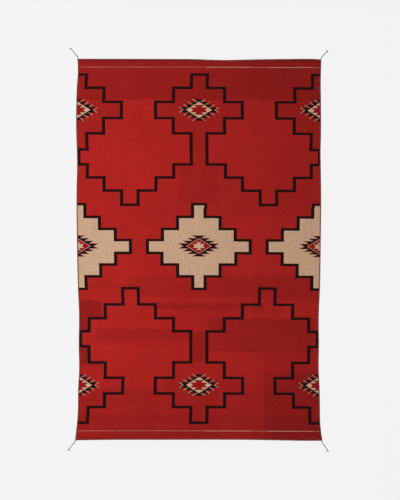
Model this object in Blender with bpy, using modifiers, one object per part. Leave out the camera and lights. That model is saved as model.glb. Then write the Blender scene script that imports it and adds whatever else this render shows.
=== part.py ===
"""Handwoven wool rug, lying flat and face up, with its length along Y.

One tapestry-woven cloth, a cord along each of its four edges, and at each corner a short twisted tie
that ends in a knot. Metres, +Z up, the floor at Z 0, the origin under the middle of the rug.
"""

from collections import namedtuple
from math import cos, pi, radians, sin

import bmesh
import bpy
import numpy as np
from mathutils import Matrix, Vector

# Driving dimensions
RUG_LENGTH = 1.910
CLOTH_THICKNESS = 0.003
CLOTH_EDGE_ROUNDING = 0.0011
EDGE_CORD = 0.0042
TIE_CORD = 0.0042
GAP = 0.0003

# Steps of the meshes
CLOTH_COLUMNS = 22
CLOTH_ROWS = 36
TIE_STEP = 0.00165

# A tie's two plies make the cord this much wider one way and narrower the other, and turn once in a pitch.
# A tie goes straight on from its side cord for the lead-in before it bends.
PLY_SWELL = 0.22
TIE_LEAD_IN = 0.0025
TWIST_PITCH = 0.0132

HALF_LENGTH = RUG_LENGTH / 2

# The side cords' outer edges, from the middle line, at places along the rug from its top end down.
# The rug is widest at its lower corners and draws in by 20 mm a side below the middle.
Side = namedtuple("Side", "along left right")
SIDES = (
    Side(0.955, 0.606, 0.613),
    Side(0.890, 0.604, 0.611),
    Side(0.820, 0.609, 0.610),
    Side(0.740, 0.612, 0.611),
    Side(0.570, 0.612, 0.611),
    Side(0.490, 0.609, 0.609),
    Side(0.430, 0.608, 0.610),
    Side(0.290, 0.611, 0.612),
    Side(0.050, 0.609, 0.610),
    Side(-0.190, 0.604, 0.606),
    Side(-0.330, 0.598, 0.600),
    Side(-0.470, 0.600, 0.601),
    Side(-0.610, 0.598, 0.600),
    Side(-0.690, 0.603, 0.604),
    Side(-0.800, 0.604, 0.606),
    Side(-0.860, 0.608, 0.607),
    Side(-0.905, 0.613, 0.611),
    Side(-0.955, 0.6185, 0.6185),
)

# The end cords' outer edges, from the middle line, at places across the rug from left to right.
End = namedtuple("End", "across top bottom")
ENDS = (
    End(-0.620, 0.9550, 0.9525),
    End(-0.480, 0.9548, 0.9505),
    End(-0.160, 0.9540, 0.9500),
    End(-0.040, 0.9535, 0.9497),
    End(0.075, 0.9500, 0.9493),
    End(0.120, 0.9487, 0.9495),
    End(0.200, 0.9500, 0.9498),
    End(0.280, 0.9520, 0.9505),
    End(0.360, 0.9532, 0.9520),
    End(0.440, 0.9540, 0.9535),
    End(0.560, 0.9546, 0.9550),
    End(0.620, 0.9515, 0.9545),
)

# The ties' routes after the side cord's end, with the cord's thickness there as a share of its own.
Bend = namedtuple("Bend", "across along thick")
TIES = {
    "top_left": (
        Bend(-0.6062, 0.9670, 1.30),
        Bend(-0.6137, 0.9735, 0.95),
        Bend(-0.6207, 0.9830, 1.00),
        Bend(-0.6292, 0.9940, 1.00),
        Bend(-0.6362, 1.0008, 1.00),
    ),
    "top_right": (
        Bend(0.6137, 0.9600, 1.00),
        Bend(0.6182, 0.9665, 1.00),
        Bend(0.6232, 0.9722, 1.10),
        Bend(0.6307, 0.9800, 1.00),
        Bend(0.6392, 0.9890, 1.00),
    ),
    "bottom_left": (
        Bend(-0.6195, -0.9600, 1.00),
        Bend(-0.6237, -0.9655, 1.05),
        Bend(-0.6297, -0.9725, 1.00),
        Bend(-0.6367, -0.9815, 1.00),
        Bend(-0.6467, -0.9945, 1.00),
    ),
    "bottom_right": (
        Bend(0.6170, -0.9625, 1.00),
        Bend(0.6217, -0.9705, 1.00),
        Bend(0.6282, -0.9785, 1.10),
        Bend(0.6345, -0.9875, 1.00),
        Bend(0.6420, -0.9990, 1.00),
    ),
}

# Each knot's turn from its tie's line, and its two cut tails: their turns from that line and their lengths.
Knot = namedtuple("Knot", "turn long_tail long_turn short_tail short_turn")
KNOT_LENGTH = 0.0095
KNOT_WIDTH = 0.0078
KNOT_HEIGHT = 0.0062
TAIL_THICKNESS = 0.0030
TAIL_TIP = 0.0018
KNOTS = {
    "top_left": Knot(20, 0.0085, 35, 0.0060, -30),
    "top_right": Knot(-75, 0.0110, 78, 0.0085, -88),
    "bottom_left": Knot(10, 0.0070, -15, 0.0125, 78),
    "bottom_right": Knot(-5, 0.0100, -6, 0.0085, -62),
}

PARTS_COLLECTION = "handwoven_rug"
GUIDES_COLLECTION = "guides"


def clear_scene():
    """Leave an empty scene with one collection for the rug and one for its guides."""
    for thing in list(bpy.data.objects):
        bpy.data.objects.remove(thing, do_unlink=True)
    for name in (PARTS_COLLECTION, GUIDES_COLLECTION):
        bpy.context.scene.collection.children.link(bpy.data.collections.new(name))


def wool(name, colour, roughness):
    """A matt wool finish."""
    finish = bpy.data.materials.new(name)
    finish.use_nodes = True
    shader = finish.node_tree.nodes["Principled BSDF"]
    shader.inputs["Base Color"].default_value = (*colour, 1.0)
    shader.inputs["Roughness"].default_value = roughness
    shader.inputs["Metallic"].default_value = 0.0
    finish.diffuse_color = (*colour, 1.0)
    return finish


def add_object(name, data, finish, collection=PARTS_COLLECTION):
    """Put mesh or curve data in the scene as a named object with its finish."""
    thing = bpy.data.objects.new(name, data)
    data.materials.append(finish)
    bpy.data.collections[collection].objects.link(thing)
    return thing


def smooth_value(places, values, at):
    """The value at a place on one smooth curve through the values given at rising places."""
    slopes = np.gradient(values, places)
    step = min(max(int(np.searchsorted(places, at)) - 1, 0), len(places) - 2)
    span = places[step + 1] - places[step]
    share = min(max((at - places[step]) / span, 0.0), 1.0)
    start_weight = (1 + 2 * share) * (1 - share) ** 2
    end_weight = share**2 * (3 - 2 * share)
    start_slope = share * (1 - share) ** 2 * span
    end_slope = share**2 * (share - 1) * span
    return float(
        start_weight * values[step]
        + end_weight * values[step + 1]
        + start_slope * slopes[step]
        + end_slope * slopes[step + 1]
    )


def side_reach(side, along):
    """How far a side's outer edge is from the middle line at a place along the rug."""
    places = [row.along for row in reversed(SIDES)]
    values = [getattr(row, side) for row in reversed(SIDES)]
    return smooth_value(places, values, along)


def end_reach(end, across):
    """How far an end's outer edge is from the middle line at a place across the rug."""
    return smooth_value([row.across for row in ENDS], [getattr(row, end) for row in ENDS], across)


def corner(side, end):
    """The outer corner where a side meets an end, as (across, along)."""
    side_sign = -1 if side == "left" else 1
    end_sign = 1 if end == "top" else -1
    across = side_sign * side_reach(side, end_sign * HALF_LENGTH)
    return across, end_sign * end_reach(end, across)


def cloth_place(across_share, along_share):
    """A place on the cloth inside its edge cords, each share running from -1 to 1, as (across, along)."""
    inset = EDGE_CORD + GAP
    along = along_share * HALF_LENGTH
    for _ in range(3):
        left = -side_reach("left", along) + inset
        right = side_reach("right", along) - inset
        across = left + (right - left) * (across_share + 1) / 2
        bottom = -end_reach("bottom", across) + inset
        top = end_reach("top", across) - inset
        along = bottom + (top - bottom) * (along_share + 1) / 2
    return across, along


def even_shares(steps):
    """Evenly spaced shares from -1 to 1."""
    return [2 * step / steps - 1 for step in range(steps + 1)]


def make_cloth(finish):
    """The woven cloth: one sheet with the rug's uneven outline, inside its edge cords."""
    form = bmesh.new()
    bmesh.ops.create_grid(form, x_segments=CLOTH_COLUMNS, y_segments=CLOTH_ROWS, size=1.0)
    for vertex in form.verts:
        vertex.co = (*cloth_place(vertex.co.x, vertex.co.y), 0.0)
    mesh = bpy.data.meshes.new("rug_cloth")
    form.to_mesh(mesh)
    form.free()
    cloth = add_object("rug_cloth", mesh, finish)
    thickness = cloth.modifiers.new("thickness", "SOLIDIFY")
    thickness.thickness = CLOTH_THICKNESS
    thickness.offset = 1.0
    rounding = cloth.modifiers.new("worn_edge", "BEVEL")
    rounding.width = CLOTH_EDGE_ROUNDING
    rounding.segments = 2
    rounding.limit_method = "ANGLE"
    rounding.angle_limit = radians(60)
    mesh.shade_smooth()
    return cloth


def tube_curve(name, points, thickness, sides_resolution, radii=None, profile=None):
    """A poly curve through points with a round section, or a profile's, and closed ends."""
    curve = bpy.data.curves.new(name, "CURVE")
    curve.dimensions = "3D"
    curve.twist_mode = "Z_UP"
    curve.use_fill_caps = True
    if profile is None:
        curve.bevel_depth = thickness / 2
        curve.bevel_resolution = sides_resolution
    else:
        curve.bevel_mode = "OBJECT"
        curve.bevel_object = profile
    line = curve.splines.new("POLY")
    line.points.add(len(points) - 1)
    for index, place in enumerate(points):
        line.points[index].co = (*place, 1.0)
        line.points[index].radius = radii[index] if radii else 1.0
    line.use_smooth = True
    return curve


def side_cord_line(side):
    """The middle line of the cord along one side, from the bottom corner to the top one."""
    side_sign = -1 if side == "left" else 1
    bottom, *inner, top = (
        (corner(side, "bottom"), 0.0),
        *((cloth_place(side_sign, share), EDGE_CORD + GAP) for share in even_shares(CLOTH_ROWS)),
        (corner(side, "top"), 0.0),
    )
    return [
        (across + side_sign * (inset - EDGE_CORD / 2), along, EDGE_CORD / 2)
        for (across, along), inset in (bottom, *inner, top)
    ]


def make_side_cord(side, finish):
    """The cord along one side, from corner to corner."""
    name = f"side_cord_{side}"
    return add_object(name, tube_curve(name, side_cord_line(side), EDGE_CORD, 2), finish)


def make_end_cord(end, finish):
    """The cord along one end, between the two side cords."""
    end_sign = 1 if end == "top" else -1
    offset = end_sign * (GAP + EDGE_CORD / 2)
    line = []
    for share in even_shares(CLOTH_COLUMNS):
        across, along = cloth_place(share, end_sign)
        line.append((across, along + offset, EDGE_CORD / 2))
    name = f"end_cord_{end}"
    return add_object(name, tube_curve(name, line, EDGE_CORD, 2), finish)


def two_ply_profile(finish):
    """The section of two plies lying together, as a closed outline that the ties follow."""
    sides = 8
    outline = bpy.data.curves.new("two_ply_section", "CURVE")
    outline.dimensions = "2D"
    line = outline.splines.new("POLY")
    line.points.add(sides - 1)
    mean_radius = TIE_CORD / 2 / (1 + PLY_SWELL)
    for index in range(sides):
        angle = -2 * pi * index / sides
        radius = mean_radius * (1 + PLY_SWELL * cos(2 * angle))
        line.points[index].co = (radius * cos(angle), radius * sin(angle), 0.0, 1.0)
    line.use_cyclic_u = True
    section = add_object("two_ply_section", outline, finish, GUIDES_COLLECTION)
    section.hide_render = True
    section.display_type = "WIRE"
    return section


def tie_roots(side, end):
    """The first places of a tie, which goes straight on from its side cord's end."""
    line = [Vector(place) for place in side_cord_line(side)]
    if end == "bottom":
        line.reverse()
    onward = (line[-1] - line[-2]).normalized()
    return [line[-1] + onward * distance for distance in (GAP, GAP + TIE_LEAD_IN)]


def tie_route(side, end):
    """Evenly spaced places along a tie, with the cord's thickness at each."""
    rows = [Bend(root.x, root.y, 1.0) for root in tie_roots(side, end)]
    rows.extend(TIES[f"{end}_{side}"])
    spans = [np.hypot(b.across - a.across, b.along - a.along) for a, b in zip(rows, rows[1:])]
    distances = np.concatenate(([0.0], np.cumsum(spans)))
    length = float(distances[-1])
    steps = round(length / TIE_STEP)
    return [
        tuple(
            smooth_value(distances, [row[column] for row in rows], length * step / steps)
            for column in range(len(Bend._fields))
        )
        for step in range(steps + 1)
    ]


def make_tie(side, end, section, finish):
    """One corner tie: a free end of two plies twisted together, lying on the floor."""
    route = tie_route(side, end)
    radii = [thick for _, _, thick in route]
    points = [(x, y, TIE_CORD / 2 * max(thick, 1.0)) for x, y, thick in route]
    name = f"tie_{end}_{side}"
    curve = tube_curve(name, points, TIE_CORD, 0, radii, section)
    for index, point in enumerate(curve.splines[0].points):
        point.tilt = 2 * pi * index * TIE_STEP / TWIST_PITCH
    return add_object(name, curve, finish)


def lay_direction(degrees):
    """A unit vector on the floor at an angle from +X."""
    return Vector((cos(radians(degrees)), sin(radians(degrees)), 0.0))


def add_tail(form, root, degrees, length):
    """Join a tapering cut tail, lying on the floor, to a knot's form."""
    direction = lay_direction(degrees)
    lean = (TAIL_THICKNESS - TAIL_TIP) / 2
    middle = root + direction * length / 2
    middle.z = TAIL_THICKNESS / 2 - lean / 2 + GAP
    turn = direction.to_track_quat("Z", "Y").to_matrix().to_4x4()
    bmesh.ops.create_cone(
        form,
        cap_ends=True,
        segments=8,
        radius1=TAIL_THICKNESS / 2,
        radius2=TAIL_TIP / 2,
        depth=length,
        matrix=Matrix.Translation(middle) @ turn,
    )


def form_object(name, form, finish, collection=PARTS_COLLECTION):
    """Turn a form into a named object."""
    mesh = bpy.data.meshes.new(name)
    form.to_mesh(mesh)
    form.free()
    mesh.shade_smooth()
    return add_object(name, mesh, finish, collection)


def make_knot(side, end, finish):
    """The knot at a tie's free end: a wrapped lump with two cut tails."""
    route = tie_route(side, end)
    tip = Vector((*route[-1][:2], 0.0))
    before = Vector((*route[-2][:2], 0.0))
    line = (tip - before).normalized()
    line_angle = np.degrees(np.arctan2(line.y, line.x))
    knot = KNOTS[f"{end}_{side}"]
    turn = radians(knot.turn)
    reach = (((KNOT_LENGTH * cos(turn)) ** 2 + (KNOT_WIDTH * sin(turn)) ** 2) ** 0.5) / 2
    middle = tip + line * (reach + GAP)
    middle.z = KNOT_HEIGHT / 2
    name = f"knot_{end}_{side}"

    form = bmesh.new()
    bmesh.ops.create_uvsphere(form, u_segments=12, v_segments=9, radius=0.5)
    for vertex in form.verts:
        around = np.arctan2(vertex.co.y, vertex.co.x)
        wrap = 1 - 0.09 * (1 + cos(3 * around + 5 * vertex.co.z)) * (1 - (2 * vertex.co.z) ** 2)
        vertex.co.x *= wrap * KNOT_WIDTH
        vertex.co.y *= wrap * KNOT_HEIGHT
        vertex.co.z *= KNOT_LENGTH
    direction = lay_direction(line_angle + knot.turn)
    side_way = Vector((0.0, 0.0, 1.0)).cross(direction)
    upright = Matrix((side_way, Vector((0.0, 0.0, 1.0)), direction)).transposed().to_4x4()
    bmesh.ops.transform(form, matrix=Matrix.Translation(middle) @ upright, verts=form.verts)
    bmesh.ops.recalc_face_normals(form, faces=form.faces)
    lump = form_object(name, form, finish)

    for length, degrees, label in (
        (knot.long_tail, knot.long_turn, "long"),
        (knot.short_tail, knot.short_turn, "short"),
    ):
        tail_form = bmesh.new()
        add_tail(tail_form, middle, line_angle + degrees, length)
        tail = form_object(f"{name}_{label}_tail", tail_form, finish, GUIDES_COLLECTION)
        tail.hide_render = True
        tail.display_type = "WIRE"
        join = lump.modifiers.new(f"{label}_tail", "BOOLEAN")
        join.operation = "UNION"
        join.object = tail
    return lump


def main():
    """Make the rug, piece by piece."""
    clear_scene()
    red_wool = wool("red_wool", (0.42, 0.016, 0.018), 0.92)
    edge_wool = wool("edge_wool", (0.25, 0.008, 0.010), 0.95)
    tie_wool = wool("tie_wool", (0.12, 0.030, 0.028), 0.95)
    make_cloth(red_wool)
    for side in ("left", "right"):
        make_side_cord(side, edge_wool)
    for end in ("top", "bottom"):
        make_end_cord(end, edge_wool)
    section = two_ply_profile(tie_wool)
    for end in ("top", "bottom"):
        for side in ("left", "right"):
            make_tie(side, end, section, tie_wool)
            make_knot(side, end, tie_wool)


main()
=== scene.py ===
"""Dresses a handwoven wool rug: the woven cloth, the cords along its edges and its knotted corner ties."""

import logging
import math
from dataclasses import dataclass, field
from enum import Enum
from typing import Iterable, Sequence, Union

import bpy
import numpy as np
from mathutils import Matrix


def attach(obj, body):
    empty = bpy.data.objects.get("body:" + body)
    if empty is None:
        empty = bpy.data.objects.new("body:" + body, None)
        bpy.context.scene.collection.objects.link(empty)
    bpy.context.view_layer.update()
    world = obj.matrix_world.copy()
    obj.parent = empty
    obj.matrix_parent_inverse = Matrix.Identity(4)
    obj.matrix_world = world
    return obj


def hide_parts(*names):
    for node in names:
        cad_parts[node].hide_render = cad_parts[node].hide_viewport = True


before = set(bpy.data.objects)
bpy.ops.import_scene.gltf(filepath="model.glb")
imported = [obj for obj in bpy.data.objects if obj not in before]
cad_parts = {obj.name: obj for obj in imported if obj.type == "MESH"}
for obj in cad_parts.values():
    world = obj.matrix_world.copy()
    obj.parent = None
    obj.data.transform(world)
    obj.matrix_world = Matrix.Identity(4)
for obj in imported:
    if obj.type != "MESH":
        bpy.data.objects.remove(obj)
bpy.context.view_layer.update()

log = logging.getLogger("rug")

Socket = bpy.types.NodeSocket
Value = Union[Socket, float]
Colour = tuple[float, float, float]

MM = 0.001
GAP = 0.3 * MM
WEAVE_MAP = "weave_plan"
PLY_MARK = "ply"
WOOL_ROUGHNESS = 0.95
WOOL_SPECULAR = 0.12
WOOL_SHEEN_ROUGHNESS = 0.55


class Side(Enum):
    """The two long edges, with the sign of their place across the rug."""

    LEFT = -1
    RIGHT = 1


class End(Enum):
    """The two short edges, with the sign of their place along the rug."""

    TOP = 1
    BOTTOM = -1


def srgb(red: int, green: int, blue: int) -> Colour:
    """Turn a colour of 0 to 255 as seen into the linear colour that a shader takes.

    Args:
        red: Red share of 255.
        green: Green share of 255.
        blue: Blue share of 255.

    Returns:
        The linear colour.
    """
    shares = [value / 255 for value in (red, green, blue)]
    return tuple(s / 12.92 if s <= 0.04045 else ((s + 0.055) / 1.055) ** 2.4 for s in shares)


def smooth_values(places: Sequence[float], values: Sequence[float], at: np.ndarray) -> np.ndarray:
    """Read one smooth curve through the values given at rising places.

    Args:
        places: Rising places.
        values: The value at each place.
        at: Places to read.

    Returns:
        The curve's value at each place of at.
    """
    places, values, at = (np.asarray(row, dtype=float) for row in (places, values, at))
    slopes = np.gradient(values, places)
    step = np.clip(np.searchsorted(places, at) - 1, 0, len(places) - 2)
    span = places[step + 1] - places[step]
    share = np.clip((at - places[step]) / span, 0.0, 1.0)
    return (
        (1 + 2 * share) * (1 - share) ** 2 * values[step]
        + share**2 * (3 - 2 * share) * values[step + 1]
        + share * (1 - share) ** 2 * span * slopes[step]
        + share**2 * (share - 1) * span * slopes[step + 1]
    )


@dataclass(frozen=True)
class SideStation:
    """How far the two sides' outer edges are from the middle line at one place along the rug."""

    along: float
    left: float
    right: float


@dataclass(frozen=True)
class EndStation:
    """How far the two ends' outer edges are from the middle line at one place across the rug."""

    across: float
    top: float
    bottom: float


@dataclass(frozen=True)
class RugOutline:
    """The rug's uneven outline: a little drawn in below the middle and flared at the lower corners."""

    half_length: float = 0.955
    edge_cord: float = 4.2 * MM
    sides: tuple[SideStation, ...] = (
        SideStation(-0.955, 0.6185, 0.6185),
        SideStation(-0.905, 0.613, 0.611),
        SideStation(-0.860, 0.608, 0.607),
        SideStation(-0.800, 0.604, 0.606),
        SideStation(-0.690, 0.603, 0.604),
        SideStation(-0.610, 0.598, 0.600),
        SideStation(-0.470, 0.600, 0.601),
        SideStation(-0.330, 0.598, 0.600),
        SideStation(-0.190, 0.604, 0.606),
        SideStation(0.050, 0.609, 0.610),
        SideStation(0.290, 0.611, 0.612),
        SideStation(0.430, 0.608, 0.610),
        SideStation(0.490, 0.609, 0.609),
        SideStation(0.570, 0.612, 0.611),
        SideStation(0.740, 0.612, 0.611),
        SideStation(0.820, 0.609, 0.610),
        SideStation(0.890, 0.604, 0.611),
        SideStation(0.955, 0.606, 0.613),
    )
    ends: tuple[EndStation, ...] = (
        EndStation(-0.620, 0.9550, 0.9525),
        EndStation(-0.480, 0.9548, 0.9505),
        EndStation(-0.160, 0.9540, 0.9500),
        EndStation(-0.040, 0.9535, 0.9497),
        EndStation(0.075, 0.9500, 0.9493),
        EndStation(0.120, 0.9487, 0.9495),
        EndStation(0.200, 0.9500, 0.9498),
        EndStation(0.280, 0.9520, 0.9505),
        EndStation(0.360, 0.9532, 0.9520),
        EndStation(0.440, 0.9540, 0.9535),
        EndStation(0.560, 0.9546, 0.9550),
        EndStation(0.620, 0.9515, 0.9545),
    )

    @property
    def inset(self) -> float:
        """How far the cloth's edge lies inside the rug's outer edge."""
        return self.edge_cord + GAP

    def side_edge(self, side: Side, along: np.ndarray) -> np.ndarray:
        """Find a side's outer edge.

        Args:
            side: The side.
            along: Places along the rug.

        Returns:
            The edge's place across the rug, with its sign.
        """
        places = [row.along for row in self.sides]
        reaches = [getattr(row, side.name.lower()) for row in self.sides]
        return side.value * smooth_values(places, reaches, along)

    def end_edge(self, end: End, across: np.ndarray) -> np.ndarray:
        """Find an end's outer edge.

        Args:
            end: The end.
            across: Places across the rug.

        Returns:
            The edge's place along the rug, with its sign.
        """
        places = [row.across for row in self.ends]
        reaches = [getattr(row, end.name.lower()) for row in self.ends]
        return end.value * smooth_values(places, reaches, across)

    def cloth_place(self, across_share: np.ndarray, along_share: np.ndarray) -> tuple[np.ndarray, np.ndarray]:
        """Find places on the cloth, inside its edge cords.

        Args:
            across_share: Shares across, from -1 at the left edge to 1 at the right one.
            along_share: Shares along, from -1 at the bottom end to 1 at the top one.

        Returns:
            The places across and along, in metres.
        """
        along = along_share * self.half_length
        across = across_share
        for _ in range(3):
            left = self.side_edge(Side.LEFT, along) + self.inset
            right = self.side_edge(Side.RIGHT, along) - self.inset
            across = left + (right - left) * (across_share + 1) / 2
            bottom = self.end_edge(End.BOTTOM, across) + self.inset
            top = self.end_edge(End.TOP, across) - self.inset
            along = bottom + (top - bottom) * (along_share + 1) / 2
        return across, along

    def side_cord_line(self, side: Side, steps: int) -> np.ndarray:
        """Find the middle line of the cord along one side.

        Args:
            side: The side.
            steps: Steps along the cloth's edge.

        Returns:
            Points from the bottom corner to the top one.
        """
        shares = np.linspace(-1, 1, steps + 1)
        across, along = self.cloth_place(np.full_like(shares, side.value), shares)
        middle = self.edge_cord / 2
        across = across + side.value * (GAP + middle)
        for end, place in ((End.BOTTOM, 0), (End.TOP, len(across) + 1)):
            at_end = self.side_edge(side, np.array(end.value * self.half_length))
            across = np.insert(across, place, at_end - side.value * middle)
            along = np.insert(along, place, self.end_edge(end, at_end))
        return np.column_stack((across, along, np.full_like(across, middle)))

    def end_cord_line(self, end: End, steps: int) -> np.ndarray:
        """Find the middle line of the cord along one end.

        Args:
            end: The end.
            steps: Steps along the cloth's edge.

        Returns:
            Points from left to right.
        """
        shares = np.linspace(-1, 1, steps + 1)
        across, along = self.cloth_place(shares, np.full_like(shares, end.value))
        middle = self.edge_cord / 2
        return np.column_stack((across, along + end.value * (GAP + middle), np.full_like(across, middle)))


class NodeSheet:
    """Adds nodes to a node tree with short calls."""

    def __init__(self, tree: bpy.types.NodeTree) -> None:
        """Work on a tree.

        Args:
            tree: The tree that takes the nodes.
        """
        self.tree = tree

    def add(self, kind: str, **settings: object) -> bpy.types.Node:
        """Add a node.

        Args:
            kind: The node's type name.
            **settings: Properties to set on it.

        Returns:
            The node.
        """
        node = self.tree.nodes.new(kind)
        for name, value in settings.items():
            setattr(node, name, value)
        return node

    def feed(self, socket: Socket, value: object) -> None:
        """Link a socket to an input, or set the input's own value.

        Args:
            socket: The input.
            value: A socket or a plain value.
        """
        if isinstance(value, bpy.types.NodeSocket):
            self.tree.links.new(value, socket)
        else:
            socket.default_value = value

    def math(self, operation: str, *values: Value) -> Socket:
        """Work out a number.

        Args:
            operation: The Math node's operation.
            *values: Its inputs.

        Returns:
            The result.
        """
        node = self.add("ShaderNodeMath", operation=operation)
        for socket, value in zip(node.inputs, values):
            self.feed(socket, value)
        return node.outputs[0]

    def total(self, operation: str, values: Iterable[Value]) -> Socket:
        """Run one operation through a row of numbers.

        Args:
            operation: The Math node's operation.
            values: Two or more numbers.

        Returns:
            The result.
        """
        first, *rest = values
        for value in rest:
            first = self.math(operation, first, value)
        return first

    def between(self, value: Value, low: Value, high: Value) -> Socket:
        """Tell whether a number lies between two others.

        Args:
            value: The number.
            low: The lower limit.
            high: The upper limit.

        Returns:
            1 where it does, or 0.
        """
        over = self.math("GREATER_THAN", value, low)
        return self.math("MULTIPLY", over, self.math("LESS_THAN", value, high))

    def map_range(self, value: Value, start: float, stop: float, low: float, high: float) -> Socket:
        """Carry a number smoothly from one range to another.

        Args:
            value: The number.
            start: Where the first range starts.
            stop: Where it stops.
            low: Result at start.
            high: Result at stop.

        Returns:
            The result.
        """
        node = self.add("ShaderNodeMapRange", interpolation_type="SMOOTHSTEP")
        for socket, number in zip(node.inputs, (value, start, stop, low, high)):
            self.feed(socket, number)
        return node.outputs[0]

    def mix(self, share: Value, first: object, second: object) -> Socket:
        """Mix two colours.

        Args:
            share: Share of the second colour.
            first: A colour or a socket.
            second: A colour or a socket.

        Returns:
            The mixed colour.
        """
        node = self.add("ShaderNodeMix", data_type="RGBA")
        self.feed(node.inputs["Factor"], share)
        for name, colour in (("A", first), ("B", second)):
            socket = next(s for s in node.inputs if s.name == name and s.type == "RGBA")
            self.feed(socket, (*colour, 1.0) if isinstance(colour, tuple) else colour)
        return next(s for s in node.outputs if s.type == "RGBA")

    def scale_colour(self, colour: object, amount: Value) -> Socket:
        """Make a colour lighter or darker.

        Args:
            colour: A colour or a socket.
            amount: What to multiply it by.

        Returns:
            The new colour.
        """
        node = self.add("ShaderNodeVectorMath", operation="SCALE")
        self.feed(node.inputs[0], colour)
        self.feed(node.inputs["Scale"], amount)
        return node.outputs[0]

    def vector(self, x: Value, y: Value, z: Value = 0.0) -> Socket:
        """Join three numbers into a vector.

        Args:
            x: First number.
            y: Second number.
            z: Third number.

        Returns:
            The vector.
        """
        node = self.add("ShaderNodeCombineXYZ")
        for socket, value in zip(node.inputs, (x, y, z)):
            self.feed(socket, value)
        return node.outputs[0]

    def noise(self, place: Socket, scale: float, detail: float = 2.0) -> Socket:
        """Read soft noise.

        Args:
            place: Where to read it.
            scale: How fine it is.
            detail: How many finer layers it has.

        Returns:
            A number around 0.5.
        """
        node = self.add("ShaderNodeTexNoise")
        self.feed(node.inputs["Vector"], place)
        node.inputs["Scale"].default_value = scale
        node.inputs["Detail"].default_value = detail
        return node.outputs["Fac"]

    def speckle(self, place: Socket) -> Socket:
        """Read a random number that is fixed for each place.

        Args:
            place: Where to read it.

        Returns:
            A number from 0 to 1.
        """
        node = self.add("ShaderNodeTexWhiteNoise", noise_dimensions="3D")
        self.feed(node.inputs["Vector"], place)
        return node.outputs["Value"]

    def steps(self, at: Value, rows: Sequence[tuple[float, float]]) -> Socket:
        """Read a row of steps: each value holds from its place to the next.

        Args:
            at: Place to read.
            rows: Rising places with the value that starts at each. The first also holds before its place.

        Returns:
            The value there.
        """
        value = rows[0][1]
        for (_, before), (place, after) in zip(rows, rows[1:]):
            if after != before:
                past = self.math("GREATER_THAN", at, place)
                value = self.math("MULTIPLY_ADD", past, after - before, value)
        return value


def wool_shader(name: str, sheen: float) -> tuple[bpy.types.Material, NodeSheet, bpy.types.Node]:
    """Start a matt wool material.

    Args:
        name: The material's name.
        sheen: Weight of the soft sheen of its fibres.

    Returns:
        The material, its node sheet and its shader node.
    """
    material = bpy.data.materials.new(name)
    material.use_nodes = True
    shader = material.node_tree.nodes["Principled BSDF"]
    shader.inputs["Roughness"].default_value = WOOL_ROUGHNESS
    shader.inputs["Specular IOR Level"].default_value = WOOL_SPECULAR
    shader.inputs["Sheen Weight"].default_value = sheen
    shader.inputs["Sheen Roughness"].default_value = WOOL_SHEEN_ROUGHNESS
    return material, NodeSheet(material.node_tree), shader


def raise_surface(sheet: NodeSheet, shader: bpy.types.Node, height: Socket, strength: float,
                  depth: float) -> None:
    """Give a material small relief.

    Args:
        sheet: The material's node sheet.
        shader: Its shader node.
        height: How high each place stands, as a share of the depth.
        strength: How strongly the relief shows.
        depth: Its depth.
    """
    bump = sheet.add("ShaderNodeBump")
    bump.inputs["Strength"].default_value = strength
    bump.inputs["Distance"].default_value = depth
    sheet.feed(bump.inputs["Height"], height)
    sheet.feed(shader.inputs["Normal"], bump.outputs[0])


@dataclass(frozen=True)
class StepRow:
    """One row of the stepped border: its place along, and how far out its two lines stand from there in."""

    along: float
    inner: float
    outer: float


@dataclass(frozen=True)
class CrossRow:
    """One row of a stepped cross: where it starts along the rug, and the cross's half-width."""

    along: float
    half_width: float


@dataclass(frozen=True)
class Saw:
    """Level teeth up a lozenge's side: each starts at a root, reaches out to a tip and is one height high."""

    root: float
    step: float
    tooth: float
    height: float
    rows: int

    def drawn_in(self, distance: float, shorter: float) -> "Saw":
        """Make a narrower saw that fits inside this one.

        Args:
            distance: How much further in its roots lie.
            shorter: How much shorter its teeth are.

        Returns:
            The narrower saw.
        """
        return Saw(self.root - distance, self.step, self.tooth - shorter, self.height, self.rows)


@dataclass(frozen=True)
class Lozenge:
    """A serrated lozenge: a dark toothed ring with a thin outline, round a straight heart with a core."""

    outline_yarn: Colour
    heart_yarn: Colour
    core_yarn: Colour
    ring: Saw
    outline_width: float
    outline_tip: float
    heart_across: float
    heart_along: float
    core: Saw
    line_yarn: Union[Colour, None] = None
    line_share: float = 0.0


class Ground(Enum):
    """Where a batch of red yarn was used."""

    ANY = "everywhere"
    FIELD = "inside the stepped fields"
    FIGURE = "outside them"


@dataclass(frozen=True)
class DyeAndShadeBand:
    """A stretch of red yarn with its own tone against the rest: mostly another dye batch, while the two
    full-width end bands also carry painted shade.
    """

    low: float
    high: float
    left: float
    right: float
    tone: float
    ground: Ground = Ground.ANY


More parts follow.
